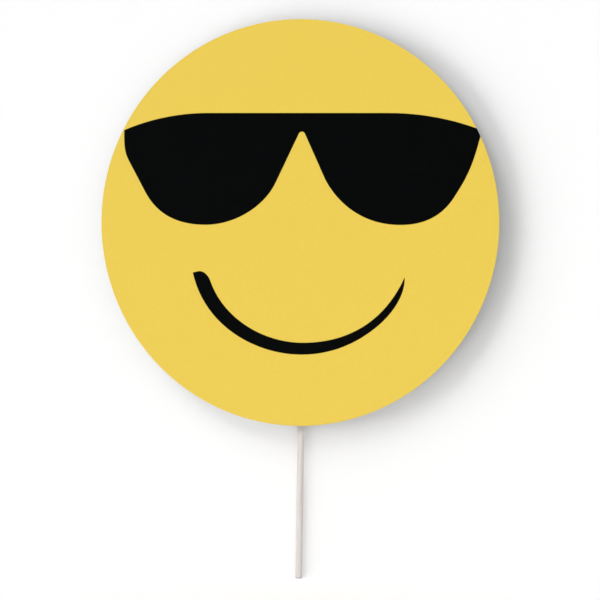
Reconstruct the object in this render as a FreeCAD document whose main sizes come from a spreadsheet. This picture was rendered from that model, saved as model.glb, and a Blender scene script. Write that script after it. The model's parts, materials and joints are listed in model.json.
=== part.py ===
import FreeCAD, Part
import math
import os

import Sketcher

# A hand-held photo booth prop: an oval foam board with a printed smiling face in sunglasses,
# and a thin round wooden stick glued and taped to its back.
#
# Frame: the origin is the middle of the stick's lower end. +Z runs up to the board, the printed
# face looks along -Y, and +X is to the right of a person who looks at the face. The outlines of
# the board and of the artwork are measured from the middle of the oval.

V = FreeCAD.Vector

# Driving dimensions: millimetres, and degrees for the lean and the glue's rise.
SIZES = {
    "board_wide": 244.5,
    "board_tall": 250.0,
    "board_side": 1.0,
    "board_mid": 219.4,
    "liner_thick": 0.3,
    "core_thick": 4.4,
    "sheet_thick": 0.2,
    "ink_deep": 0.05,
    "brow_top": 67.3,
    "brow_left_end": -56.9,
    "brow_right_end": 54.5,
    "brow_left_radius": 130.5,
    "brow_right_radius": 158.4,
    "stick_dia": 4.4,
    "stick_long": 200.0,
    "stick_lean": 0.82,
    "free_run": 92.5,
    "bow_radius": 1400.0,
    "end_round": 0.9,
    "glue_bond": 0.2,
    "glue_wide": 7.0,
    "glue_rise": 12.0,
    "glue_bulge": 1.75,
    "glue_low": 114.0,
    "glue_long": 80.0,
    "tape_wide": 19.0,
    "tape_long": 62.0,
    "tape_thick": 0.15,
    "tape_reach": 5.4,
    "tape_lower_edge": 117.0,
    "tape_upper_edge": 175.0,
    "tooth_deep": 0.8,
}
TEETH = 11

# Places worked out from the sheet. The board's back lies behind the stick's own surface by the
# glue's bond line, and each layer starts where the one behind it ends.
BOARD_BACK = "-(Sizes.stick_dia / 2 + Sizes.glue_bond)"
CORE_BACK = BOARD_BACK + " - Sizes.liner_thick"
FRONT_LINER_BACK = CORE_BACK + " - Sizes.core_thick"
SHEET_BACK = FRONT_LINER_BACK + " - Sizes.liner_thick"

# The stick leans over its free run and is upright behind the board, past a gentle bow.
LEAN = "Sizes.stick_lean * 1deg"
UPRIGHT_X = f"Sizes.free_run * sin({LEAN}) + Sizes.bow_radius * (1 - cos({LEAN}))"
BOW_LONG = "Sizes.bow_radius * Sizes.stick_lean * pi / 180"

# How far the sunglasses' brow runs: at the left to a blunt corner just inside the board's edge,
# and at the right past the edge, where the ink is trimmed with the board.
BROW_LEFT_X = -108.2
BROW_RIGHT_X = 111.6

doc = FreeCAD.newDocument("booth_prop_sign")


def add_sheet():
    sheet = doc.addObject("Spreadsheet::Sheet", "Sizes")
    for row, (name, value) in enumerate(SIZES.items(), 1):
        sheet.set(f"A{row}", name)
        sheet.set(f"B{row}", str(value))
        sheet.setAlias(f"B{row}", name)
    doc.recompute()
    return sheet


sizes = add_sheet()


def size(name):
    return float(sizes.get(name))


def bind(thing, **expressions):
    """Bind properties to the sheet; a double underscore stands for the dot in a property's path."""
    for path, expression in expressions.items():
        thing.setExpression(path.replace("__", "."), expression)


def place(thing, x="0", y="0", z="0"):
    bind(thing, Placement__Base__x=x, Placement__Base__y=y, Placement__Base__z=z)


def new_body(label):
    body = doc.addObject("PartDesign::Body", label)
    body.Label = label
    return body


def plane_sketch(body, name, role):
    sketch = body.newObject("Sketcher::SketchObject", name)
    plane = next(item for item in body.Origin.OriginFeatures if item.Role == role)
    sketch.AttachmentSupport = [(plane, "")]
    sketch.MapMode = "FlatFace"
    return sketch


def dimension(sketch, name, expression, *constraint):
    """Add a named constraint whose value comes from the sheet."""
    index = sketch.addConstraint(Sketcher.Constraint(*constraint))
    sketch.renameConstraint(index, name)
    sketch.setExpression(f"Constraints.{name}", expression)


def join(sketch, first, first_end, second, second_end, kind="Coincident"):
    sketch.addConstraint(Sketcher.Constraint(kind, first, first_end, second, second_end))


# Ends of an edge, and the origin and axes, as sketch constraints number them.
START, END, CENTRE = 1, 2, 3
ORIGIN = (-1, 1)
X_AXIS, Y_AXIS = -1, -2


def pad(body, sketch, length):
    feature = body.newObject("PartDesign::Pad", sketch.Name + "_pad")
    feature.Profile = sketch
    bind(feature, Length=length)
    return feature


# ---- Board layers ----

def oval_layer(label, thick):
    """An oval sheet: its back face on the body's XZ plane, its front towards -Y."""
    body = new_body(label)
    sketch = plane_sketch(body, label + "_outline", "XZ_Plane")
    top = V(0, size("board_tall") / 2, 0)
    side = V(size("board_wide") / 2, 0, 0)
    oval = sketch.addGeometry(Part.Ellipse(top, side, V(0, 0, 0)), False)
    sketch.exposeInternalGeometry(oval)
    tall_axis, wide_axis = oval + 1, oval + 2
    join(sketch, oval, CENTRE, *ORIGIN)
    sketch.addConstraint(Sketcher.Constraint("Vertical", tall_axis))
    dimension(sketch, "tall", "Sizes.board_tall", "Distance", tall_axis, size("board_tall"))
    dimension(sketch, "wide", "Sizes.board_wide", "Distance", wide_axis, size("board_wide"))
    pad(body, sketch, thick)
    return body


def board_layer(label, thick, back):
    body = oval_layer(label, thick)
    place(body, "Sizes.board_side", back, "Sizes.board_mid")
    return body


# ---- Artwork ----

def curve(*poles):
    """A smooth edge between two end points, shaped by the two handles between them."""
    edge = Part.BezierCurve()
    edge.setPoles([V(x, z, 0) for x, z in poles])
    return edge.toBSpline()


def line(start, end):
    return Part.LineSegment(V(*start, 0), V(*end, 0))


def arc(start, middle, end):
    return Part.Arc(V(*start, 0), V(*middle, 0), V(*end, 0))


def brow_drop(from_x, radius, x):
    """The point at x on an arc that leaves the flat brow at from_x and falls away."""
    run = x - from_x
    return (x, size("brow_top") - radius + math.sqrt(radius**2 - run**2))


def brow_arc(from_x, radius, to_x):
    middle_x = (from_x + to_x) / 2
    points = [brow_drop(from_x, radius, x) for x in (from_x, middle_x, to_x)]
    return arc(*points)


def sunglasses_outline():
    left_x, right_x = size("brow_left_end"), size("brow_right_end")
    left_radius, right_radius = size("brow_left_radius"), size("brow_right_radius")
    corner_left = brow_drop(left_x, left_radius, BROW_LEFT_X)
    bleed_right = brow_drop(right_x, right_radius, BROW_RIGHT_X)

    temple_right = (97.1, 19.6)
    lens_right_low = (61.5, -1.55)
    nose_right = (15.25, 26.5)
    notch_right = (2.8, 54.6)
    notch_top = (1.0, 55.8)
    notch_left = (-0.9, 54.6)
    nose_left = (-15.1, 24.7)
    lens_left_low = (-58.3, -1.4)
    cheek_left = (-95.7, 19.6)
    temple_left = (-105.4, 38.1)
    return [
        line((left_x, size("brow_top")), (right_x, size("brow_top"))),
        brow_arc(right_x, right_radius, BROW_RIGHT_X),
        curve(bleed_right, (107.5, 40.0), (104.2, 30.7), temple_right),
        curve(temple_right, (93.4, 13.8), (85.8, -1.55), lens_right_low),
        curve(lens_right_low, (37.0, -1.55), (22.1, 13.2), nose_right),
        line(nose_right, notch_right),
        arc(notch_right, notch_top, notch_left),
        line(notch_left, nose_left),
        curve(nose_left, (-21.6, 10.6), (-39.4, -1.4), lens_left_low),
        curve(lens_left_low, (-79.4, -1.4), (-89.9, 8.1), cheek_left),
        line(cheek_left, temple_left),
        curve(temple_left, (-107.9, 42.9), (-108.4, 46.5), corner_left),
        brow_arc(left_x, left_radius, BROW_LEFT_X),
    ]


def smile_outline():
    blunt_corner = (-66.1, -30.7)
    outer_low = (0.7, -81.2)
    outer_right = (47.8, -63.4)
    sharp_tip = (64.1, -33.6)
    inner_low = (1.3, -73.9)
    inner_left = (-55.4, -35.6)
    blunt_top = (-62.6, -29.9)
    return [
        curve(blunt_corner, (-58.5, -64.9), (-26.1, -81.2), outer_low),
        curve(outer_low, (16.8, -81.2), (33.1, -75.9), outer_right),
        curve(outer_right, (55.6, -56.8), (64.6, -45.5), sharp_tip),
        curve(sharp_tip, (54.7, -54.7), (35.6, -73.9), inner_low),
        curve(inner_low, (-21.0, -73.9), (-46.7, -60.5), inner_left),
        curve(inner_left, (-56.3, -33.2), (-58.9, -29.4), blunt_top),
        line(blunt_top, blunt_corner),
    ]


def ink_shape(label, outline):
    """Ink soaked into the sheet: flush with its printed front, ink_deep thick."""
    body = new_body(label)
    sketch = plane_sketch(body, label + "_outline", "XZ_Plane")
    sketch.addGeometry(outline, False)
    for index in range(len(outline)):
        sketch.addConstraint(Sketcher.Constraint("Block", index))
    pad(body, sketch, "Sizes.ink_deep")
    place(body, y="-(Sizes.sheet_thick - Sizes.ink_deep)")
    return body


def trimmed_print(label, sheet, ink):
    """The part of the ink that stays on the sheet once both are cut along the board's edge."""
    trimmed = doc.addObject("Part::Common", label)
    trimmed.Label = label
    trimmed.Base = sheet
    trimmed.Tool = ink
    place(trimmed, "Sizes.board_side", SHEET_BACK, "Sizes.board_mid")
    return trimmed


def printed_face():
    """The face sheet and the two black prints that fill its recesses."""
    sheet = oval_layer("uncut_sheet", "Sizes.sheet_thick")
    sunglasses = ink_shape("sunglasses_ink", sunglasses_outline())
    smile = ink_shape("smile_ink", smile_outline())

    all_ink = doc.addObject("Part::MultiFuse", "all_ink")
    all_ink.Shapes = [sunglasses, smile]
    face = doc.addObject("Part::Cut", "face_sheet")
    face.Label = "face_sheet"
    face.Base = sheet
    face.Tool = all_ink
    place(face, "Sizes.board_side", SHEET_BACK, "Sizes.board_mid")
    return [
        face,
        trimmed_print("sunglasses_print", sheet, sunglasses),
        trimmed_print("smile_print", sheet, smile),
    ]


# ---- Stick ----

def stick_path(body):
    """The stick's centre line: a leaning free run, a gentle bow and an upright run."""
    lean = math.radians(size("stick_lean"))
    free, bow = size("free_run"), size("bow_radius")
    upright_long = size("stick_long") - free - bow * lean
    bow_start = V(free * math.sin(lean), free * math.cos(lean), 0)
    bow_centre = bow_start + V(-bow * math.cos(lean), bow * math.sin(lean), 0)
    bow_end = bow_centre + V(bow, 0, 0)

    path = plane_sketch(body, "stick_path", "XZ_Plane")
    free_line = path.addGeometry(Part.LineSegment(V(0, 0, 0), bow_start), False)
    bow_circle = Part.Circle(bow_centre, V(0, 0, 1), bow)
    bow_arc = path.addGeometry(Part.ArcOfCircle(bow_circle, -lean, 0), False)
    upright_end = bow_end + V(0, upright_long, 0)
    upright = path.addGeometry(Part.LineSegment(bow_end, upright_end), False)

    join(path, free_line, START, *ORIGIN)
    join(path, free_line, END, bow_arc, START, "Tangent")
    join(path, bow_arc, END, upright, START, "Tangent")
    path.addConstraint(Sketcher.Constraint("Vertical", upright))
    dimension(path, "free_run", "Sizes.free_run", "Distance", free_line, free)
    dimension(path, "bow_radius", "Sizes.bow_radius", "Radius", bow_arc, bow)
    slope = math.pi / 2 - lean
    dimension(path, "slope", f"90deg - {LEAN}", "Angle", X_AXIS, START, free_line, START, slope)
    upright_run = f"Sizes.stick_long - Sizes.free_run - {BOW_LONG}"
    dimension(path, "upright_run", upright_run, "Distance", upright, upright_long)
    return path


def end_circles(shape):
    """The names of the circles where the rod's two flat ends meet its side."""
    ends = [face for face in shape.Faces if isinstance(face.Surface, Part.Plane)]
    rims = [edge for face in ends for edge in face.Edges]
    return [
        f"Edge{index}"
        for index, edge in enumerate(shape.Edges, 1)
        if any(edge.isSame(rim) for rim in rims)
    ]


def stick():
    body = new_body("stick")
    path = stick_path(body)
    section = body.newObject("Sketcher::SketchObject", "stick_section")
    section.AttachmentSupport = [(path, "Edge1")]
    section.MapMode = "NormalToEdge"
    radius = size("stick_dia") / 2
    circle = section.addGeometry(Part.Circle(V(0, 0, 0), V(0, 0, 1), radius), False)
    join(section, circle, CENTRE, *ORIGIN)
    dimension(section, "round", "Sizes.stick_dia", "Diameter", circle, 2 * radius)

    rod = body.newObject("PartDesign::AdditivePipe", "rod")
    rod.Profile = section
    rod.Spine = (path, ["Edge1", "Edge2", "Edge3"])
    doc.recompute()

    eased = body.newObject("PartDesign::Fillet", "eased_ends")
    eased.Base = (rod, end_circles(rod.Shape))
    bind(eased, Radius="Sizes.end_round")
    return body


# ---- Glue ----

def stick_glue():
    """A bead of hot-melt glue that cradles the stick and feathers out on the board's back."""
    body = new_body("stick_glue")
    radius, bulge = size("stick_dia") / 2, size("glue_bulge")
    rise = math.radians(size("glue_rise"))
    foot = V(size("glue_wide") / 2, -radius - size("glue_bond"), 0)
    touch = V(radius * math.cos(rise), -radius * math.sin(rise), 0)
    chord = touch - foot
    middle = (foot + touch) / 2
    inward = V(-chord.y, chord.x, 0).normalize()
    depth = math.sqrt(bulge**2 - (chord.Length / 2) ** 2)
    centre = middle + inward * depth
    foot_angle = math.atan2(foot.y - centre.y, foot.x - centre.x)
    touch_angle = math.atan2(touch.y - centre.y, touch.x - centre.x)
    left_centre = V(-centre.x, centre.y, 0)

    sketch = plane_sketch(body, "bead_section", "XY_Plane")
    left_foot = V(-foot.x, foot.y, 0)
    base = sketch.addGeometry(Part.LineSegment(left_foot, foot), False)
    right_circle = Part.Circle(centre, V(0, 0, 1), bulge)
    right_flank = sketch.addGeometry(Part.ArcOfCircle(right_circle, foot_angle, touch_angle), False)
    channel_circle = Part.Circle(V(0, 0, 0), V(0, 0, 1), radius)
    channel_arc = Part.ArcOfCircle(channel_circle, math.pi + rise, 2 * math.pi - rise)
    channel = sketch.addGeometry(channel_arc, False)
    left_circle = Part.Circle(left_centre, V(0, 0, 1), bulge)
    left_arc = Part.ArcOfCircle(left_circle, math.pi - touch_angle, math.pi - foot_angle)
    left_flank = sketch.addGeometry(left_arc, False)

    join(sketch, base, END, right_flank, START)
    join(sketch, right_flank, END, channel, END)
    join(sketch, channel, START, left_flank, START)
    join(sketch, left_flank, END, base, START)
    join(sketch, channel, CENTRE, *ORIGIN)
    sketch.addConstraint(Sketcher.Constraint("Symmetric", base, START, base, END, Y_AXIS))
    sketch.addConstraint(Sketcher.Constraint("Symmetric", channel, START, channel, END, Y_AXIS))
    sketch.addConstraint(Sketcher.Constraint("Equal", right_flank, left_flank))
    dimension(sketch, "foot_wide", "Sizes.glue_wide", "DistanceX", base, START, base, END, 2 * foot.x)
    dimension(sketch, "bond", f"-({BOARD_BACK})", "DistanceY", base, START, *ORIGIN, -foot.y)
    dimension(sketch, "groove", "Sizes.stick_dia / 2", "Radius", channel, radius)
    touch_drop = "Sizes.stick_dia / 2 * sin(Sizes.glue_rise * 1deg)"
    dimension(sketch, "touch", touch_drop, "DistanceY", channel, END, *ORIGIN, -touch.y)
    dimension(sketch, "bulge", "Sizes.glue_bulge", "Radius", right_flank, bulge)
    pad(body, sketch, "Sizes.glue_long")
    place(body, UPRIGHT_X, z="Sizes.glue_low")
    return body


# ---- Tape ----

def tape_path(label):
    """The tape's inner line: flat on the board, up to the stick, over it and down again."""
    radius, reach = size("stick_dia") / 2, size("tape_reach")
    half, drop = size("tape_long") / 2, radius + size("glue_bond")
    to_foot = math.hypot(reach, drop)
    slope = math.atan2(drop, reach) + math.asin(radius / to_foot)
    left_foot, right_foot = V(-reach, -drop, 0), V(reach, -drop, 0)
    right_touch = V(radius * math.sin(slope), radius * math.cos(slope), 0)
    left_touch = V(-right_touch.x, right_touch.y, 0)
    crest_circle = Part.Circle(V(0, 0, 0), V(0, 0, 1), radius)
    crest_arc = Part.ArcOfCircle(crest_circle, math.pi / 2 - slope, math.pi / 2 + slope)

    sketch = doc.addObject("Sketcher::SketchObject", label + "_path")
    left_flat = sketch.addGeometry(Part.LineSegment(V(-half, -drop, 0), left_foot), False)
    left_rise = sketch.addGeometry(Part.LineSegment(left_foot, left_touch), False)
    crest = sketch.addGeometry(crest_arc, False)
    right_fall = sketch.addGeometry(Part.LineSegment(right_touch, right_foot), False)
    right_flat = sketch.addGeometry(Part.LineSegment(right_foot, V(half, -drop, 0)), False)

    join(sketch, left_flat, END, left_rise, START)
    join(sketch, left_rise, END, crest, END, "Tangent")
    join(sketch, crest, START, right_fall, START, "Tangent")
    join(sketch, right_fall, END, right_flat, START)
    join(sketch, crest, CENTRE, *ORIGIN)
    sketch.addConstraint(Sketcher.Constraint("Horizontal", left_flat))
    for left_end, right_end in ((START, END), (END, START)):
        mirror = ("Symmetric", left_flat, left_end, right_flat, right_end, Y_AXIS)
        sketch.addConstraint(Sketcher.Constraint(*mirror))
    dimension(sketch, "crest", "Sizes.stick_dia / 2", "Radius", crest, radius)
    dimension(sketch, "drop", f"-({BOARD_BACK})", "DistanceY", left_flat, START, *ORIGIN, drop)
    reach_ends = (left_flat, END, *ORIGIN)
    dimension(sketch, "reach", "Sizes.tape_reach", "DistanceX", *reach_ends, reach)
    half_ends = (left_flat, START, *ORIGIN)
    dimension(sketch, "half_long", "Sizes.tape_long / 2", "DistanceX", *half_ends, half)
    return sketch


def tape_outline(label):
    """The strip seen from behind, with the saw-toothed ends that the dispenser's blade leaves."""
    half, wide, deep = size("tape_long") / 2, size("tape_wide"), size("tooth_deep")
    steps = 2 * TEETH
    heights = [wide * step / steps for step in range(steps + 1)]
    insets = [deep * (step % 2) for step in range(steps + 1)]
    right_end = [V(half - inset, height, 0) for inset, height in zip(insets, heights)]
    left_end = [V(-half + inset, height, 0) for inset, height in zip(insets, heights)]
    corners = right_end + left_end[::-1]

    body = new_body(label + "_strip")
    sketch = plane_sketch(body, label + "_teeth", "XZ_Plane")
    for index, corner in enumerate(corners):
        following = corners[(index + 1) % len(corners)]
        sketch.addGeometry(Part.LineSegment(corner, following), False)
        sketch.addConstraint(Sketcher.Constraint("Block", index))
    strip = pad(body, sketch, "2 * Sizes.stick_dia")
    strip.Midplane = True
    return body


def tape(label, lower_edge):
    wrap = doc.addObject("Part::Offset2D", label + "_section")
    wrap.Source = tape_path(label)
    wrap.Mode = "Skin"
    wrap.Join = "Intersection"
    wrap.Fill = True
    bind(wrap, Value="-Sizes.tape_thick")

    bent = doc.addObject("Part::Extrusion", label + "_bent")
    bent.Base = wrap
    bent.DirMode = "Custom"
    bent.Dir = V(0, 0, 1)
    bent.Solid = True
    bind(bent, LengthFwd="Sizes.tape_wide")

    strip = doc.addObject("Part::Common", label)
    strip.Label = label
    strip.Base = bent
    strip.Tool = tape_outline(label)
    place(strip, UPRIGHT_X, z=lower_edge)
    return strip


# ---- The whole sign ----

parts = printed_face() + [
    board_layer("front_liner", "Sizes.liner_thick", FRONT_LINER_BACK),
    board_layer("foam_core", "Sizes.core_thick", CORE_BACK),
    board_layer("back_liner", "Sizes.liner_thick", BOARD_BACK),
    stick(),
    stick_glue(),
    tape("tape_lower", "Sizes.tape_lower_edge"),
    tape("tape_upper", "Sizes.tape_upper_edge"),
]
doc.recompute()

for item in doc.Objects:
    if "Invalid" in item.State or "Error" in item.State:
        raise RuntimeError(f"{item.Name} failed: {item.State}")
for part in parts:
    if part.Shape.isNull() or not part.Shape.isValid() or len(part.Shape.Solids) != 1:
        raise RuntimeError(f"{part.Label} isn't one valid solid")

os.makedirs("parts", exist_ok=True)
for part in parts:
    part.Shape.exportStep(f"parts/{part.Label}.step")
    box = part.Shape.BoundBox
    print(f"{part.Label:17} volume {part.Shape.Volume:10.2f} mm3  "
          f"x {box.XMin:8.2f} {box.XMax:8.2f}  y {box.YMin:6.2f} {box.YMax:6.2f}  "
          f"z {box.ZMin:7.2f} {box.ZMax:7.2f}")
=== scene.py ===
import json
import math

import bmesh
import bpy
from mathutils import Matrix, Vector, noise

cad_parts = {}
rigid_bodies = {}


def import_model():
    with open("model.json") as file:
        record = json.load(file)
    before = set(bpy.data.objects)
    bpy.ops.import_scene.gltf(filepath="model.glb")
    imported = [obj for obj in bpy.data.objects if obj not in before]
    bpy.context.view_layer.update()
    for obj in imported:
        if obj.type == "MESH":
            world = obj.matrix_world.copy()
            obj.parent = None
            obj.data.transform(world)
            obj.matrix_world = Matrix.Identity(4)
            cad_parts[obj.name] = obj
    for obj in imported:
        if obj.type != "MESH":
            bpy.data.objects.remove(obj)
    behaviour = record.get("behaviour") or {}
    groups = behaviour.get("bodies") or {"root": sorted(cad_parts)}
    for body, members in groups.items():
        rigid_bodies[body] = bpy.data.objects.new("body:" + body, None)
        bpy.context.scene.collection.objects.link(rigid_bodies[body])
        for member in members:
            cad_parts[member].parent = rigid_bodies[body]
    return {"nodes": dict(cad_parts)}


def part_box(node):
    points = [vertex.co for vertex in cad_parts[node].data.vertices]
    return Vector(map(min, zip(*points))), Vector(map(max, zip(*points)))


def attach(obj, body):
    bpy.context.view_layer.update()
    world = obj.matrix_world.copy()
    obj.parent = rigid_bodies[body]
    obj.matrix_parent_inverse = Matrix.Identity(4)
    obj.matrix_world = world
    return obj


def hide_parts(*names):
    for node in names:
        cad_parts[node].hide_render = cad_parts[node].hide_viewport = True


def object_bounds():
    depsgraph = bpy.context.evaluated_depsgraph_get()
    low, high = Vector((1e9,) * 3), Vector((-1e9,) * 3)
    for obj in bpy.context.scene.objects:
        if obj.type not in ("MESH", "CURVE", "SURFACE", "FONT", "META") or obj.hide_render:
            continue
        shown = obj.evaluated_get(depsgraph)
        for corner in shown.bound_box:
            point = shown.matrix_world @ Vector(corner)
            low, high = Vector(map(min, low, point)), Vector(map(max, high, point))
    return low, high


# A photo booth prop sign: an oval foam board printed with a smiling face in sunglasses, on a thin
# wooden stick that is glued and taped to its back. Metres, in the frame of the CAD model: the
# stick's lower end is at the origin, +Z runs up the sign and the printed face looks along -Y.

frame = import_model()
cad_low, cad_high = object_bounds()

MM = 0.001

# ---- Driving dimensions, in millimetres unless a name says otherwise ----

STICK_LONG = 200.0
STICK_LEAN = math.radians(0.82)
FREE_RUN = 92.5
BOW_RADIUS = 1400.0
END_ROUND = 0.9

TAPE_THICK = 0.15
TAPE_REACH = 5.4
TAPE_FOOT_BEND = 2.5
TEETH = 11
TOOTH_DEEP = 0.8

BEAD_WIDE = 7.0
BEAD_RISE = math.radians(12)

# The photograph's frame: 600 pixels of 0.6144 mm at the printed face, with the middle of the oval
# 0.37 pixels right of the image's centre and 77.53 above it.
FRAME_PIXELS = 600
PIXEL = 0.6144
OVAL_RIGHT_PIXELS = 0.37
OVAL_UP_PIXELS = 77.53
CAMERA_AWAY = 1500.0
SENSOR_WIDE = 36.0

face_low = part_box("face_sheet")[0]
core_low, core_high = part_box("foam_core")
back_low, back_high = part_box("back_liner")
front_low, front_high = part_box("front_liner")
glue_low, glue_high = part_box("stick_glue")
stick_low, stick_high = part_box("stick")
tape_low, tape_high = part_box("tape_lower")

OVAL_X = (back_low.x + back_high.x) / 2 / MM
OVAL_Z = (back_low.z + back_high.z) / 2 / MM
OVAL_HALF_WIDE = (back_high.x - back_low.x) / 2 / MM
OVAL_HALF_TALL = (back_high.z - back_low.z) / 2 / MM
BOARD_BACK_Y = back_high.y / MM
STICK_UPRIGHT_X = (glue_low.x + glue_high.x) / 2 / MM
STICK_RADIUS = (stick_high.y - stick_low.y) / 2 / MM
TAPE_WIDE = (tape_high.z - tape_low.z) / MM
TAPE_LONG = (tape_high.x - tape_low.x) / MM


# ---- Small tools ----

def ripple(x, y, z, octaves=1):
    """Smooth noise in about -1..1. The same place always gives the same value."""
    total, height, scale = 0.0, 1.0, 1.0
    for _ in range(octaves):
        total += height * noise.noise(Vector((x * scale, y * scale, z * scale)))
        height *= 0.5
        scale *= 2.03
    return total


def smooth_step(low, high, value):
    share = min(max((value - low) / (high - low), 0.0), 1.0)
    return share * share * (3 - 2 * share)


def grid_faces(rows, columns, first=0, closed=False):
    """Four-sided faces of a grid stored row by row; closed joins the last column to the first."""
    faces = []
    for row in range(rows - 1):
        for column in range(columns if closed else columns - 1):
            after = (column + 1) % columns
            low, high = first + row * columns, first + (row + 1) * columns
            faces.append((low + column, low + after, high + after, high + column))
    return faces


def add_piece(name, points, faces, material, node, crease=40):
    """A closed mesh from points in millimetres, which stands for one CAD node."""
    mesh = bpy.data.meshes.new(name)
    mesh.from_pydata([Vector(point) * MM for point in points], [], faces)
    shaper = bmesh.new()
    shaper.from_mesh(mesh)
    bmesh.ops.recalc_face_normals(shaper, faces=shaper.faces)
    shaper.to_mesh(mesh)
    shaper.free()
    mesh.shade_smooth()
    mesh.set_sharp_from_angle(angle=math.radians(crease))
    mesh.materials.append(material)
    piece = bpy.data.objects.new(name, mesh)
    bpy.context.scene.collection.objects.link(piece)
    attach(piece, "root")
    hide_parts(node)


# ---- Materials ----

class Finish:
    """A Principled material and short ways to feed its sockets."""

    def __init__(self, name, roughness, specular=0.5):
        self.material = bpy.data.materials.new(name)
        self.material.use_nodes = True
        self.tree = self.material.node_tree
        self.shader = self.tree.nodes["Principled BSDF"]
        self.shader.inputs["Roughness"].default_value = roughness
        self.shader.inputs["Specular IOR Level"].default_value = specular
        places = self.add("ShaderNodeTexCoord")
        self.place = places.outputs["Object"]
        self.facing = places.outputs["Normal"]

    def add(self, kind, **settings):
        node = self.tree.nodes.new(kind)
        for name, value in settings.items():
            setattr(node, name, value)
        return node

    def link(self, output, target):
        self.tree.links.new(output, target)

    def stretched(self, x, y, z):
        """The place on the piece with one texture unit to x, y and z millimetres."""
        mapping = self.add("ShaderNodeMapping")
        mapping.inputs["Scale"].default_value = [1 / (size * MM) for size in (x, y, z)]
        self.link(self.place, mapping.inputs["Vector"])
        return mapping.outputs["Vector"]

    def noise(self, x, y, z, detail=2.0, roughness=0.5, distortion=0.0):
        texture = self.add("ShaderNodeTexNoise")
        texture.inputs["Scale"].default_value = 1.0
        texture.inputs["Detail"].default_value = detail
        texture.inputs["Roughness"].default_value = roughness
        texture.inputs["Distortion"].default_value = distortion
        self.link(self.stretched(x, y, z), texture.inputs["Vector"])
        return texture.outputs["Fac"]

    def off_front(self):
        """0 on a surface that looks along -Y, and 1 on the edge round it."""
        facing = self.add("ShaderNodeSeparateXYZ")
        self.link(self.facing, facing.inputs["Vector"])
        aside = self.add("ShaderNodeMath", operation="GREATER_THAN")
        aside.inputs[1].default_value = -0.5
        self.link(facing.outputs["Y"], aside.inputs[0])
        return aside.outputs["Value"]

    def cells(self, size, feature="F1"):
        texture = self.add("ShaderNodeTexVoronoi", feature=feature)
        texture.inputs["Scale"].default_value = 1.0
        self.link(self.stretched(size, size, size), texture.inputs["Vector"])
        return texture.outputs["Distance"]

    def ramp(self, factor, *stops):
        """Colours (or grey levels) along a factor: each stop is (position, colour)."""
        ramp = self.add("ShaderNodeValToRGB")
        elements = ramp.color_ramp.elements
        while len(elements) < len(stops):
            elements.new(0.5)
        for element, (position, colour) in zip(elements, stops):
            element.position = position
            shade = (colour,) * 3 if isinstance(colour, float) else colour
            element.color = (*shade, 1.0)
        self.link(factor, ramp.inputs["Fac"])
        return ramp.outputs["Color"]

    def mixed(self, factor, first, second, blend="MIX"):
        mix = self.add("ShaderNodeMix", data_type="RGBA", blend_type=blend)
        for socket, value in (("Factor", factor), ("A", first), ("B", second)):
            kind = "VALUE" if socket == "Factor" else "RGBA"
            target = next(s for s in mix.inputs if s.name == socket and s.type == kind)
            if hasattr(value, "links"):
                self.link(value, target)
            else:
                target.default_value = value if kind == "VALUE" else (*value, 1.0)
        return next(s for s in mix.outputs if s.type == "RGBA")

    def colour(self, output):
        self.link(output, self.shader.inputs["Base Color"])

    def rough(self, factor, low, high):
        remap = self.add("ShaderNodeMapRange")
        remap.inputs["To Min"].default_value = low
        remap.inputs["To Max"].default_value = high
        self.link(factor, remap.inputs["Value"])
        self.link(remap.outputs["Result"], self.shader.inputs["Roughness"])

    def bump(self, *layers):
        """Relief from one or more (height, depth in millimetres) pairs, one on top of another."""
        last = None
        for height, depth in layers:
            bump = self.add("ShaderNodeBump")
            bump.inputs["Distance"].default_value = depth * MM
            self.link(height, bump.inputs["Height"])
            if last:
                self.link(last, bump.inputs["Normal"])
            last = bump.outputs["Normal"]
        self.link(last, self.shader.inputs["Normal"])


def satin_film(finish, smooth, rough):
    """A laminated film's fine tooth and faint orange peel, between two roughnesses."""
    tooth = finish.noise(0.22, 0.22, 0.22, detail=2.0)
    peel = finish.noise(2.4, 2.4, 2.4, detail=1.0)
    finish.rough(peel, smooth, rough)
    finish.bump((tooth, 0.006), (peel, 0.01))


def yellow_print():
    """Satin-laminated paper, printed in an even yellow, with a white cut edge."""
    finish = Finish("yellow_print", roughness=0.42, specular=0.25)
    mottle = finish.noise(1.6, 1.6, 1.6, detail=3.0)
    ink = finish.ramp(mottle, (0.3, (0.849, 0.615, 0.086)), (0.7, (0.865, 0.629, 0.091)))
    cut_edge = (0.78, 0.77, 0.73)
    finish.colour(finish.mixed(finish.off_front(), ink, cut_edge))
    satin_film(finish, 0.38, 0.46)
    return finish.material


def black_print():
    """The same satin film over dense black ink."""
    finish = Finish("black_print", roughness=0.4, specular=0.035)
    mottle = finish.noise(1.2, 1.2, 1.2, detail=3.0)
    ink = finish.ramp(mottle, (0.3, (0.0006, 0.0009, 0.0010)), (0.7, (0.0012, 0.0015, 0.0016)))
    finish.colour(ink)
    satin_film(finish, 0.36, 0.44)
    return finish.material


def liner_paper():
    """Clay-coated white paper: faint cloudiness, short fibres and a slight tooth."""
    finish = Finish("liner_paper", roughness=0.62, specular=0.3)
    cloud = finish.noise(9.0, 9.0, 9.0, detail=4.0, roughness=0.6)
    fibre = finish.noise(0.25, 0.25, 1.6, detail=3.0, distortion=1.2)
    base = finish.ramp(cloud, (0.3, (0.775, 0.765, 0.735)), (0.7, (0.815, 0.808, 0.785)))
    flecks = finish.ramp(fibre, (0.42, 0.94), (0.58, 1.0))
    finish.colour(finish.mixed(0.35, base, flecks, blend="MULTIPLY"))
    tooth = finish.noise(0.35, 0.35, 0.35, detail=3.0)
    sway = finish.noise(38.0, 38.0, 38.0, detail=1.0)
    finish.rough(cloud, 0.58, 0.68)
    finish.bump((fibre, 0.012), (tooth, 0.012), (sway, 0.25))
    return finish.material


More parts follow.
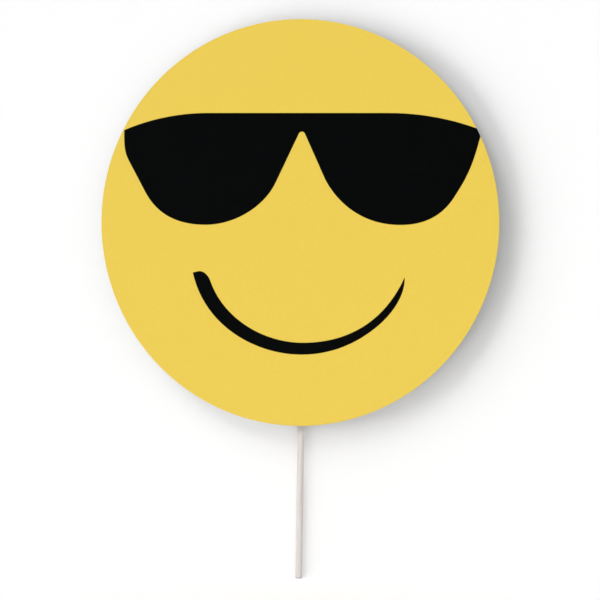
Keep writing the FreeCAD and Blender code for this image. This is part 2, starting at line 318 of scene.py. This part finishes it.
def cut_foam():
    """White polystyrene foam where the cutter has opened its cells, with painted shade in each cell's
    hollow.
    """
    finish = Finish("cut_foam", roughness=0.7, specular=0.3)
    cells = finish.cells(0.32)
    # Painted shade: darker towards each opened cell's middle, lighter on its walls.
    cell_walls_and_hollow_shade = finish.ramp(cells, (0.15, (0.74, 0.74, 0.73)), (0.6, (0.86, 0.86, 0.85)))
    drag = finish.noise(1.4, 6.0, 1.4, detail=2.0)
    dragged = finish.ramp(drag, (0.35, 0.86), (0.6, 1.0))
    finish.colour(finish.mixed(0.25, cell_walls_and_hollow_shade, dragged, blend="MULTIPLY"))
    finish.bump((cells, 0.1), (drag, 0.06))
    finish.shader.inputs["Subsurface Weight"].default_value = 0.2
    finish.shader.inputs["Subsurface Radius"].default_value = (0.8 * MM, 0.8 * MM, 0.8 * MM)
    finish.shader.inputs["Subsurface Scale"].default_value = 1.0
    return finish.material


def birch():
    """Pale birch dowel: long fine grain, a few darker streaks and short open pores."""
    finish = Finish("birch", roughness=0.58, specular=0.3)
    figure = finish.noise(0.9, 0.9, 34.0, detail=4.0, roughness=0.62, distortion=0.3)
    base = finish.ramp(
        figure, (0.3, (0.68, 0.61, 0.569)), (0.5, (0.762, 0.704, 0.675)), (0.72, (0.824, 0.778, 0.757))
    )
    streak = finish.noise(0.3, 0.3, 16.0, detail=3.0, distortion=0.4)
    streaks = finish.ramp(streak, (0.4, 0.86), (0.55, 1.0))
    streaked = finish.mixed(0.5, base, streaks, blend="MULTIPLY")
    pores = finish.noise(0.11, 0.11, 1.5, detail=1.0)
    pits = finish.ramp(pores, (0.28, 0.6), (0.36, 1.0))
    finish.colour(finish.mixed(0.6, streaked, pits, blend="MULTIPLY"))
    finish.rough(streak, 0.5, 0.68)
    finish.bump((pores, 0.03), (streak, 0.05))
    return finish.material


def hot_glue():
    """Set hot-melt glue: milky, see-through at its thin edges, with a waxy gloss."""
    finish = Finish("hot_glue", roughness=0.24, specular=0.5)
    haze = finish.noise(2.2, 2.2, 4.0, detail=2.0)
    finish.colour(finish.ramp(haze, (0.3, (0.86, 0.84, 0.78)), (0.7, (0.93, 0.92, 0.88))))
    finish.rough(haze, 0.2, 0.34)
    waves = finish.noise(1.3, 1.3, 2.6, detail=2.0)
    finish.bump((waves, 0.05))
    finish.shader.inputs["IOR"].default_value = 1.48
    finish.shader.inputs["Subsurface Weight"].default_value = 0.2
    finish.shader.inputs["Subsurface Radius"].default_value = (1.6 * MM, 1.5 * MM, 1.3 * MM)
    finish.shader.inputs["Subsurface Scale"].default_value = 1.0
    return finish.material


def crepe_tape():
    """Creped paper tape: fine cross ripples, painted light on the crests and painted shade in the
    troughs, and a little of what lies below.
    """
    finish = Finish("crepe_tape", roughness=0.7, specular=0.25)
    crepe = finish.noise(0.42, 0.42, 2.6, detail=3.0, roughness=0.6, distortion=0.5)
    blotch = finish.noise(5.0, 5.0, 5.0, detail=3.0)
    # Painted light and shade: the colour follows the crepe's height, paler on the crests and darker in
    # the troughs.
    base = finish.ramp(
        crepe, (0.3, (0.735, 0.655, 0.475)), (0.5, (0.775, 0.7, 0.53)), (0.7, (0.81, 0.74, 0.58))
    )
    blotches = finish.ramp(blotch, (0.35, 0.88), (0.65, 1.0))
    finish.colour(finish.mixed(0.3, base, blotches, blend="MULTIPLY"))
    finish.rough(crepe, 0.74, 0.6)
    tooth = finish.noise(0.16, 0.16, 0.16, detail=1.0)
    finish.bump((crepe, 0.06), (tooth, 0.012))
    return finish.material


YELLOW = yellow_print()
BLACK = black_print()
PAPER = liner_paper()
FOAM = cut_foam()
BIRCH = birch()
GLUE = hot_glue()
TAPE = crepe_tape()


# ---- Board ----

# How many points go round each kind of layer. The foam has enough for its cells.
LINER_AROUND = 720
FOAM_AROUND = 2100
FOAM_STEPS = 12

# The foam's cut edge: how deep it is hollowed between the papers and dragged by the blade, how
# big its cells are, how deep a cell's pit is and how far it reaches, in cells.
FOAM_FRONT = core_low.y / MM
FOAM_BACK = core_high.y / MM
FOAM_HOLLOW = 0.14
FOAM_DRAG = 0.05
CELL = 0.55
CELL_PIT = 0.13
PIT_REACH = 0.7


def dress(node, material):
    """Give a CAD node that keeps its own shape its finish."""
    piece = frame["nodes"][node]
    piece.data.materials.clear()
    piece.data.materials.append(material)


def oval_point(turn, inset):
    """A point inset from the board's outline, square to it: x and z."""
    x, z = OVAL_HALF_WIDE * math.cos(turn), OVAL_HALF_TALL * math.sin(turn)
    out_x, out_z = OVAL_HALF_TALL * math.cos(turn), OVAL_HALF_WIDE * math.sin(turn)
    length = math.hypot(out_x, out_z)
    return OVAL_X + x - inset * out_x / length, OVAL_Z + z - inset * out_z / length


def oval_slab(name, material, node, profile, around, relief=None):
    """A flat oval layer whose rim follows a profile of (inset, y) from its front to its back."""
    points = []
    for inset, y in profile:
        for step in range(around):
            turn = 2 * math.pi * step / around
            extra = relief(turn, y) if relief else 0.0
            x, z = oval_point(turn, inset + extra)
            points.append((x, y, z))
    faces = grid_faces(len(profile), around, closed=True)
    last = (len(profile) - 1) * around
    faces.append(tuple(range(around)))
    faces.append(tuple(range(last, last + around)))
    add_piece(name, points, faces, material, node)


def paper_rim(front, back):
    """Paper cut from the front: its front corner is drawn in and its back corner stays sharp."""
    thick = back - front
    return [(0.07, front), (0.025, front + 0.2 * thick), (0.0, front + 0.5 * thick), (0.0, back)]


def liner(name, node, low, high):
    rim = paper_rim(low.y / MM, high.y / MM)
    oval_slab(name, PAPER, node, rim, LINER_AROUND)


def foam_relief(turn, y):
    """How far the cut foam lies inside the papers' edge: hollow between them, pitted by cells."""
    share = (y - FOAM_FRONT) / (FOAM_BACK - FOAM_FRONT)
    hollow = FOAM_HOLLOW * (1 - (2 * share - 1) ** 4)
    x, z = oval_point(turn, 0.0)
    near = noise.voronoi(Vector((x, y, z)) / CELL)[0][0]
    off_papers = smooth_step(0.0, 0.08, min(share, 1 - share))
    pit = CELL_PIT * (1 - min(near / PIT_REACH, 1.0)) * off_papers
    drag = FOAM_DRAG * (1 + ripple(x / 2.2, y / 14, z / 2.2, octaves=2))
    return hollow + pit + drag


def foam():
    deep = FOAM_BACK - FOAM_FRONT
    profile = [(0.0, FOAM_FRONT + deep * step / FOAM_STEPS) for step in range(FOAM_STEPS + 1)]
    oval_slab("foam_slab", FOAM, "foam_core", profile, FOAM_AROUND, foam_relief)


# ---- Stick ----

STICK_AROUND = 72
SIDE_STEP = 0.8
EASE_STEPS = 6
CAP_RINGS = 5

# How deep the grain and slow unevenness of the stick's side go on average, and its ends' saw marks.
GRAIN_DEEP = 0.022
UNEVEN_DEEP = 0.02
SAW_DEEP = 0.05


def stick_axis(run):
    """The point at a distance along the stick's centre line, and its lean from upright there."""
    lean = STICK_LEAN
    if run <= FREE_RUN:
        return Vector((run * math.sin(lean), 0, run * math.cos(lean))), lean
    turned = min((run - FREE_RUN) / BOW_RADIUS, lean)
    left = lean - turned
    x = FREE_RUN * math.sin(lean) + BOW_RADIUS * (math.cos(left) - math.cos(lean))
    z = FREE_RUN * math.cos(lean) + BOW_RADIUS * (math.sin(lean) - math.sin(left))
    rest = run - FREE_RUN - BOW_RADIUS * turned
    return Vector((x, 0, z + rest)), left


def stick_rings():
    """Rings from end to end: (distance along the stick, radius, how much grain it shows)."""
    flat = STICK_RADIUS - END_ROUND
    end = [(0.0, flat * ring / CAP_RINGS, 0.0) for ring in range(1, CAP_RINGS)]
    for step in range(EASE_STEPS):
        turn = math.pi / 2 * step / EASE_STEPS
        reach = END_ROUND * (1 - math.cos(turn))
        end.append((reach, flat + END_ROUND * math.sin(turn), turn / (math.pi / 2)))
    side_long = STICK_LONG - 2 * END_ROUND
    side_count = round(side_long / SIDE_STEP)
    side = [(END_ROUND + side_long * k / side_count, STICK_RADIUS, 1.0) for k in range(side_count + 1)]
    top = [(STICK_LONG - run, radius, show) for run, radius, show in reversed(end)]
    return end + side + top


def stick():
    points = []
    rings = stick_rings()
    for run, radius, show in rings:
        middle, lean = stick_axis(run)
        across = Vector((math.cos(lean), 0, -math.sin(lean)))
        along = Vector((math.sin(lean), 0, math.cos(lean)))
        for step in range(STICK_AROUND):
            turn = 2 * math.pi * step / STICK_AROUND
            cx, cy = math.cos(turn), math.sin(turn)
            grain = GRAIN_DEEP * (1 + ripple(cx * 5.5, cy * 5.5, run / 30, octaves=2))
            uneven = UNEVEN_DEEP * (1 + ripple(cx * 0.8, cy * 0.8, run / 24))
            sunk = (grain + uneven) * show
            sawn = SAW_DEEP * (1 + ripple(cx * radius * 2.5, cy * radius * 2.5, run)) * (1 - show)
            inward = sawn if run < STICK_LONG / 2 else -sawn
            direction = across * cx + Vector((0, cy, 0))
            points.append(middle + direction * (radius - sunk) + along * inward)
    faces = grid_faces(len(rings), STICK_AROUND, closed=True)
    low_hub, high_hub = len(points), len(points) + 1
    points += [stick_axis(SAW_DEEP)[0], stick_axis(STICK_LONG - SAW_DEEP)[0]]
    last = (len(rings) - 1) * STICK_AROUND
    for step in range(STICK_AROUND):
        after = (step + 1) % STICK_AROUND
        faces.append((low_hub, after, step))
        faces.append((high_hub, last + step, last + after))
    add_piece("birch_dowel", points, faces, BIRCH, "stick", crease=50)


# ---- Glue ----

# The bead swells by BEAD_SWELL of its width, and how far round the stick it climbs sways by
# BEAD_SWAY radians. Its flanks bulge by BEAD_BELLY, and over BEAD_END its ends narrow down to
# BEAD_TIP on each side.
BEAD_SWELL = 0.16
BEAD_SWAY = 0.22
BEAD_BELLY = 0.42
BEAD_END = 3.2
BEAD_TIP = 0.55 * STICK_RADIUS
BEAD_STATIONS = 170
FLANK_STEPS = 9
CHANNEL_STEPS = 10


def bead_flank(side, z, fullness):
    """One flank, from the board up to the stick: x from the stick's centre line, and y."""
    swell = 1 + BEAD_SWELL * ripple(z / 7.5, side * 9.1, 0.3, octaves=3)
    foot = BEAD_TIP + (BEAD_WIDE / 2 - BEAD_TIP) * fullness * swell
    rise = BEAD_RISE + BEAD_SWAY * ripple(z / 9.0, side * 4.7, 2.2, octaves=2)
    touch_x = STICK_RADIUS * math.cos(rise) * (0.5 + 0.5 * fullness)
    touch_y = -math.sqrt(max(STICK_RADIUS**2 - touch_x**2, 0.0))
    out_x, out_y = touch_y - BOARD_BACK_Y, foot - touch_x
    length = math.hypot(out_x, out_y) or 1.0
    flank = []
    for step in range(FLANK_STEPS):
        share = step / (FLANK_STEPS - 1)
        x = foot + (touch_x - foot) * share
        y = BOARD_BACK_Y + (touch_y - BOARD_BACK_Y) * share
        belly = BEAD_BELLY * math.sin(math.pi * share) * fullness * swell
        flank.append((side * (x + belly * out_x / length), y + belly * out_y / length))
    return flank


def bead_section(z, fullness):
    """The bead's outline at a height: its right flank, the channel round the stick, its left flank."""
    right = bead_flank(1, z, fullness)
    left = bead_flank(-1, z, fullness)
    right_turn = math.atan2(right[-1][1], right[-1][0])
    left_turn = math.atan2(left[-1][1], left[-1][0])
    channel = []
    for step in range(1, CHANNEL_STEPS):
        turn = right_turn + (left_turn - right_turn) * step / CHANNEL_STEPS
        channel.append((STICK_RADIUS * math.cos(turn), STICK_RADIUS * math.sin(turn)))
    return right + channel + left[::-1]


def glue_bead():
    """A hand-laid bead: its two flanks swell and pinch along the stick, and its ends are round."""
    low, high = glue_low.z / MM, glue_high.z / MM
    points = []
    for station in range(BEAD_STATIONS + 1):
        z = low + (high - low) * station / BEAD_STATIONS
        ends = min(z - low, high - z) / BEAD_END
        fullness = math.sqrt(max(1 - (1 - min(ends, 1.0)) ** 2, 0.0004))
        section = bead_section(z, fullness)
        points += [(STICK_UPRIGHT_X + x, max(y, BOARD_BACK_Y), z) for x, y in section]
    width = len(points) // (BEAD_STATIONS + 1)
    faces = grid_faces(BEAD_STATIONS + 1, width, closed=True)
    faces.append(tuple(range(width)))
    faces.append(tuple(range(BEAD_STATIONS * width, (BEAD_STATIONS + 1) * width)))
    add_piece("glue_bead", points, faces, GLUE, "stick_glue", crease=60)


# ---- Tape ----

TAPE_DROP = -BOARD_BACK_Y
TAPE_SLOPE = math.atan2(TAPE_DROP, TAPE_REACH) + math.asin(
    STICK_RADIUS / math.hypot(TAPE_REACH, TAPE_DROP)
)
CREST_LONG = STICK_RADIUS * TAPE_SLOPE
BEND_SETBACK = TAPE_FOOT_BEND * math.tan(TAPE_SLOPE / 2)
FALL_LONG = math.sqrt(TAPE_REACH**2 + TAPE_DROP**2 - STICK_RADIUS**2) - BEND_SETBACK
BEND_LONG = TAPE_FOOT_BEND * TAPE_SLOPE
FLAT_START = TAPE_REACH + BEND_SETBACK
TAPE_HALF_RUN = CREST_LONG + FALL_LONG + BEND_LONG + TAPE_LONG / 2 - FLAT_START

# How far the tape puckers beside the stick, how far its long edges lift and wander, and how long
# the zone is at each end in which the teeth are drawn in.
TAPE_PUCKER = 0.16
EDGE_LIFT = 0.07
EDGE_WANDER = 0.14
TEETH_ZONE = 2.0
TAPE_ROWS = 8 * TEETH
TAPE_COLUMNS = 230


def tape_line(run):
    """Half of the tape's inner line, from the crest over the stick out to its end.

    Gives the point (x, y) and the direction (x, y) that points off the board."""
    slope = TAPE_SLOPE
    if run < CREST_LONG:
        turn = run / STICK_RADIUS
        off_x, off_y = math.sin(turn), math.cos(turn)
        return (STICK_RADIUS * off_x, STICK_RADIUS * off_y), (off_x, off_y)
    run -= CREST_LONG
    if run < FALL_LONG:
        x = STICK_RADIUS * math.sin(slope) + run * math.cos(slope)
        y = STICK_RADIUS * math.cos(slope) - run * math.sin(slope)
        return (x, y), (math.sin(slope), math.cos(slope))
    run -= FALL_LONG
    if run < BEND_LONG:
        turn = slope - run / TAPE_FOOT_BEND
        x = FLAT_START - TAPE_FOOT_BEND * math.sin(turn)
        y = BOARD_BACK_Y + TAPE_FOOT_BEND * (1 - math.cos(turn))
        return (x, y), (math.sin(turn), math.cos(turn))
    return (FLAT_START + run - BEND_LONG, BOARD_BACK_Y), (0.0, 1.0)


def tooth_inset(height):
    """How far the saw-toothed end lies inside the tape's length at a height across it."""
    phase = height / TAPE_WIDE * TEETH % 1.0
    return TOOTH_DEEP * (1 - abs(2 * phase - 1))


def tape_points(run, height, seed):
    """The tape's inner and outer point at a run from its crest and a height across it."""
    side, far = (1, run) if run >= 0 else (-1, -run)
    free = TAPE_HALF_RUN - TEETH_ZONE
    if far > free:
        far = free + (far - free) * (TEETH_ZONE - tooth_inset(height)) / TEETH_ZONE
    run = side * far
    (x, y), (off_x, off_y) = tape_line(far)

    slack = smooth_step(CREST_LONG, CREST_LONG + 2.0, far)
    slack *= 1 - smooth_step(CREST_LONG + 4.5, CREST_LONG + 10.0, far)
    pucker = slack * (0.5 + 0.5 * ripple(side * 3.1 + seed, height / 3.2, far / 9.0, octaves=2))
    edge = abs(2 * height / TAPE_WIDE - 1) ** 6
    lift = TAPE_PUCKER * pucker + EDGE_LIFT * edge * max(ripple(run / 5.0, height / 30, seed + 4.4), 0)
    wander = EDGE_WANDER * edge * ripple(run / 6.5, seed + 7.7, height / TAPE_WIDE, octaves=2)
    crepe = ripple(run / 0.75 + seed, height / 4.2, seed, octaves=2)
    thick = TAPE_THICK * (0.8 + 0.28 * crepe)

    inner_x, inner_y = x + off_x * lift, y + off_y * lift
    outer_x, outer_y = inner_x + off_x * thick, inner_y + off_y * thick
    z = height + wander
    return (side * inner_x, inner_y, z), (side * outer_x, outer_y, z)


def tape(name, node, seed):
    low_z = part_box(node)[0].z / MM
    inner, outer = [], []
    for row in range(TAPE_ROWS + 1):
        height = TAPE_WIDE * row / TAPE_ROWS
        for column in range(TAPE_COLUMNS + 1):
            run = TAPE_HALF_RUN * (2 * column / TAPE_COLUMNS - 1)
            for sheet, (x, y, z) in zip((inner, outer), tape_points(run, height, seed)):
                sheet.append((STICK_UPRIGHT_X + x, y, low_z + z))
    width = TAPE_COLUMNS + 1
    count = len(inner)
    faces = grid_faces(TAPE_ROWS + 1, width) + grid_faces(TAPE_ROWS + 1, width, first=count)
    rim = list(range(width))
    rim += [row * width + TAPE_COLUMNS for row in range(1, TAPE_ROWS + 1)]
    rim += [TAPE_ROWS * width + column for column in range(TAPE_COLUMNS - 1, -1, -1)]
    rim += [row * width for row in range(TAPE_ROWS - 1, 0, -1)]
    for start, end in zip(rim, rim[1:] + rim[:1]):
        faces.append((start, end, end + count, start + count))
    add_piece(name, inner + outer, faces, TAPE, node, crease=60)


dress("face_sheet", YELLOW)
dress("sunglasses_print", BLACK)
dress("smile_print", BLACK)
liner("front_paper", "front_liner", front_low, front_high)
liner("back_paper", "back_liner", back_low, back_high)
foam()
stick()
glue_bead()
tape("paper_tape_lower", "tape_lower", 1.3)
tape("paper_tape_upper", "tape_upper", 6.8)


# ---- Stage, light and camera ----

# The floor and the backdrop, in metres. The backdrop is BACKDROP_GAP behind the sign.
STAGE_HALF_WIDE = 4.0
STAGE_HALF_DEEP = 4.0
BACKDROP_TALL = 3.0
BACKDROP_GAP = 0.1 * MM
BACKDROP_TURN = math.radians(0.3)

FLOOR_SHADE = 0.9
FLOOR_FILL = (0.381, 0.385, 0.405)
BACKDROP_SHADE = 0.943

# How far the backdrop's extra shade reaches from the board and from the stick, and how strong it
# is. Along the stick it grows from just below the board down to STICK_SHADE_FULL below it, and it
# is looked for towards LIGHT_FROM, so that it falls mostly to the stick's right.
BOARD_REACH = 28.0
BOARD_SHADE = 0.18
STICK_REACH = 3.8
STICK_SHADE = 0.26
STICK_SHADE_START = 5.0
STICK_SHADE_FULL = 55.0
LIGHT_FROM = (-0.6, -0.8, 0.0)

# The dome is dark within the first of these angles from -Y, which is behind the camera, and has
# its whole light past the second.
DARK_WITHIN = math.radians(22)
LIT_PAST = math.radians(40)


def worked_out(tree, operation, first, second):
    """The result of a Math node. Each side is another node's output or a number."""
    node = tree.nodes.new("ShaderNodeMath")
    node.operation = operation
    for target, value in zip(node.inputs, (first, second)):
        if hasattr(value, "links"):
            tree.links.new(value, target)
        else:
            target.default_value = value
    return node.outputs[0]


def matt_paint(name):
    """A matt white material with nothing linked yet: it, its nodes, its shader and its output."""
    material = bpy.data.materials.new(name)
    material.use_nodes = True
    tree = material.node_tree
    tree.nodes.clear()
    white = tree.nodes.new("ShaderNodeBsdfDiffuse")
    output = tree.nodes.new("ShaderNodeOutputMaterial")
    return material, tree, white, output.inputs["Surface"]


def floor_paint():
    """White, topped up in what the camera sees, so that it is white where no shadow falls.

    The fill is a little blue, against the yellow light that the face throws on the floor."""
    material, tree, white, surface = matt_paint("floor_white")
    new, link = tree.nodes.new, tree.links.new
    white.inputs["Color"].default_value = (FLOOR_SHADE, FLOOR_SHADE, FLOOR_SHADE, 1.0)
    glow = new("ShaderNodeEmission")
    glow.inputs["Color"].default_value = (*FLOOR_FILL, 1.0)
    link(seen_by_eye(tree, new("ShaderNodeLightPath")), glow.inputs["Strength"])
    both = new("ShaderNodeAddShader")
    link(white.outputs[0], both.inputs[0])
    link(glow.outputs[0], both.inputs[1])
    link(both.outputs[0], surface)
    return material


def backdrop_paint():
    """White, with painted shade where the sign is close, and seen from its front only.

    The backdrop lies right behind the sign, so it is clear from behind, and clear to light on
    its way to what the camera sees: the sign's back is lit as if the backdrop weren't there."""
    material, tree, white, surface = matt_paint("backdrop_white")
    new, link = tree.nodes.new, tree.links.new
    link(contact_shade(tree, BACKDROP_SHADE), white.inputs["Color"])
    rays = new("ShaderNodeLightPath")
    after_first_bounce = 1.5
    early = worked_out(tree, "LESS_THAN", rays.outputs["Ray Depth"], after_first_bounce)
    clear = new("ShaderNodeMix")
    link(rays.outputs["Is Camera Ray"], clear.inputs["Factor"])
    link(early, clear.inputs["A"])
    link(new("ShaderNodeNewGeometry").outputs["Backfacing"], clear.inputs["B"])
    through = new("ShaderNodeMixShader")
    link(clear.outputs["Result"], through.inputs["Fac"])
    link(white.outputs[0], through.inputs[1])
    link(new("ShaderNodeBsdfTransparent").outputs[0], through.inputs[2])
    link(through.outputs[0], surface)
    return material


def contact_shade(tree, shade):
    """The backdrop's white, with painted shade where the board or the stick's free end is close."""
    rim_z = OVAL_Z - OVAL_HALF_TALL
    by_board = nearness(tree, BOARD_REACH, (rim_z - BOARD_REACH, 0.0), (rim_z, BOARD_SHADE))
    stick_ends = (rim_z - STICK_SHADE_FULL, STICK_SHADE), (rim_z - STICK_SHADE_START, 0.0)
    by_stick = nearness(tree, STICK_REACH, *stick_ends, towards=LIGHT_FROM)
    return worked_out(tree, "MULTIPLY", by_stick, worked_out(tree, "MULTIPLY", by_board, shade))


def nearness(tree, reach, low, high, towards=None):
    """A painted shade factor from ambient occlusion: 1 in the open, and less where something is within
    reach.

    Low and high are two heights, each with the strength there. Towards is the direction to look
    in, for a shade that falls mostly to one side."""
    near = tree.nodes.new("ShaderNodeAmbientOcclusion")
    near.samples = 16
    near.inputs["Distance"].default_value = reach * MM
    if towards:
        look = tree.nodes.new("ShaderNodeCombineXYZ")
        for axis, value in zip("XYZ", towards):
            look.inputs[axis].default_value = value
        tree.links.new(look.outputs[0], near.inputs["Normal"])
    height = tree.nodes.new("ShaderNodeSeparateXYZ")
    tree.links.new(tree.nodes.new("ShaderNodeTexCoord").outputs["Object"], height.inputs[0])
    strength = tree.nodes.new("ShaderNodeMapRange")
    strength.interpolation_type = "SMOOTHSTEP"
    for socket, value in (("Min", low), ("Max", high)):
        strength.inputs["From " + socket].default_value = value[0] * MM
        strength.inputs["To " + socket].default_value = value[1]
    tree.links.new(height.outputs["Z"], strength.inputs["Value"])
    painted_shade = tree.nodes.new("ShaderNodeMix")
    painted_shade.data_type = "FLOAT"
    tree.links.new(strength.outputs[0], painted_shade.inputs["Factor"])
    painted_shade.inputs["A"].default_value = 1.0
    tree.links.new(near.outputs["AO"], painted_shade.inputs["B"])
    return painted_shade.outputs["Result"]


def seen_by_eye(tree, rays):
    """1 for what the camera sees, straight on, mirrored or through glass."""
    seen = rays.outputs["Is Camera Ray"]
    for kind in ("Is Glossy Ray", "Is Transmission Ray"):
        seen = worked_out(tree, "MAXIMUM", seen, rays.outputs[kind])
    return seen


def add_plane(name, corners, material, group):
    mesh = bpy.data.meshes.new(name)
    mesh.from_pydata(corners, [], [(0, 1, 2, 3)])
    mesh.materials.append(material)
    plane = bpy.data.objects.new(name, mesh)
    bpy.context.scene.collection.objects.link(plane)
    group.objects.link(plane)
    return plane


def stage(group):
    """A pale floor under the stick's end and a white backdrop that the sign leans flat against.

    The backdrop is turned by a hair, so that a look along the board from its right passes it."""
    wide, deep, tall = STAGE_HALF_WIDE, STAGE_HALF_DEEP, BACKDROP_TALL
    turned = math.tan(BACKDROP_TURN) * wide
    near_y = cad_high.y + BACKDROP_GAP - turned
    far_y = cad_high.y + BACKDROP_GAP + turned
    low = cad_low.z
    ground = [(-wide, -deep, low), (wide, -deep, low), (wide, deep, low), (-wide, deep, low)]
    wall = [(-wide, far_y, low), (wide, near_y, low), (wide, near_y, tall), (-wide, far_y, tall)]
    floor = add_plane("floor", ground, floor_paint(), group)
    floor.visible_shadow = False
    add_plane("backdrop", wall, backdrop_paint(), group)


def add_sun(name, side, rise, spread, level, behind=False, lights=None, blocked_by=None):
    """A soft far lamp: side and rise are its angles from the line square to the board, in degrees.

    Level is the light that it puts on a surface square to that line. Lights is the group of
    objects that it falls on, and blocked_by the group that casts its shadows."""
    turn, lift = math.radians(side), math.radians(rise)
    away = Vector((math.sin(turn) * math.cos(lift), -math.cos(turn) * math.cos(lift), math.sin(lift)))
    facing = abs(away.y)
    if behind:
        away.y = -away.y
    data = bpy.data.lights.new(name, "SUN")
    data.angle = math.radians(spread)
    data.energy = math.pi * level / facing
    lamp = bpy.data.objects.new(name, data)
    lamp.rotation_euler = away.to_track_quat("Z", "Y").to_euler()
    lamp.light_linking.receiver_collection = lights
    lamp.light_linking.blocker_collection = blocked_by
    bpy.context.scene.collection.objects.link(lamp)


def world(level):
    """An even dome of light, dark behind the camera so that the satin face mirrors nothing."""
    sky = bpy.data.worlds.new("studio")
    bpy.context.scene.world = sky
    sky.use_nodes = True
    tree = sky.node_tree
    new, link = tree.nodes.new, tree.links.new
    ground = tree.nodes["Background"]
    ground.inputs["Color"].default_value = (1.0, 1.0, 1.0, 1.0)
    rays = new("ShaderNodeLightPath")
    split = new("ShaderNodeSeparateXYZ")
    link(new("ShaderNodeTexCoord").outputs["Generated"], split.inputs[0])
    shade = new("ShaderNodeMapRange")
    shade.interpolation_type = "SMOOTHSTEP"
    shade.inputs["From Min"].default_value = -math.cos(DARK_WITHIN)
    shade.inputs["From Max"].default_value = -math.cos(LIT_PAST)
    link(split.outputs["Y"], shade.inputs["Value"])
    strength = new("ShaderNodeMapRange")
    strength.inputs["To Min"].default_value = level
    strength.inputs["To Max"].default_value = 1.0
    link(seen_by_eye(tree, rays), strength.inputs["Value"])
    shaded = worked_out(tree, "MULTIPLY", strength.outputs[0], shade.outputs[0])
    final = new("ShaderNodeMix")
    link(rays.outputs["Is Camera Ray"], final.inputs["Factor"])
    link(shaded, final.inputs["A"])
    final.inputs["B"].default_value = 1.0
    link(final.outputs["Result"], ground.inputs["Strength"])


def camera():
    data = bpy.data.cameras.new("camera")
    data.sensor_width = SENSOR_WIDE
    data.lens = SENSOR_WIDE * CAMERA_AWAY / (FRAME_PIXELS * PIXEL)
    data.clip_start, data.clip_end = 0.01, 20.0
    eye = bpy.data.objects.new("camera", data)
    x = OVAL_X - OVAL_RIGHT_PIXELS * PIXEL
    z = OVAL_Z - OVAL_UP_PIXELS * PIXEL
    eye.location = Vector((x, face_low.y / MM - CAMERA_AWAY, z)) * MM
    eye.rotation_euler = (math.pi / 2, 0, 0)
    bpy.context.scene.collection.objects.link(eye)
    bpy.context.scene.camera = eye


surroundings = bpy.data.collections.new("surroundings")
stage(surroundings)
backdrop = bpy.data.collections.new("backdrop_only")
backdrop.objects.link(surroundings.objects["backdrop"])
sign = bpy.data.collections.new("sign")
board = bpy.data.collections.new("board")
for piece in bpy.context.scene.objects:
    if piece.type == "MESH" and piece.name not in surroundings.objects:
        sign.objects.link(piece)
        if piece.name not in ("birch_dowel", "stick"):
            board.objects.link(piece)

world(0.65)
add_sun("key_light", -30, 32, 40, 0.42, lights=sign)
add_sun("side_light", -70, 5, 30, 0.2, lights=surroundings, blocked_by=board)
add_sun("backdrop_upper", -60, 45, 30, 0.16, lights=backdrop, blocked_by=board)
add_sun("backdrop_lower", -60, -30, 30, 0.12, lights=backdrop)
add_sun("rear_left", -40, 30, 30, 0.14, behind=True, lights=sign)
add_sun("rear_right", 40, 25, 30, 0.22, behind=True, lights=sign)
camera()
bpy.context.scene.view_settings.view_transform = "Standard"
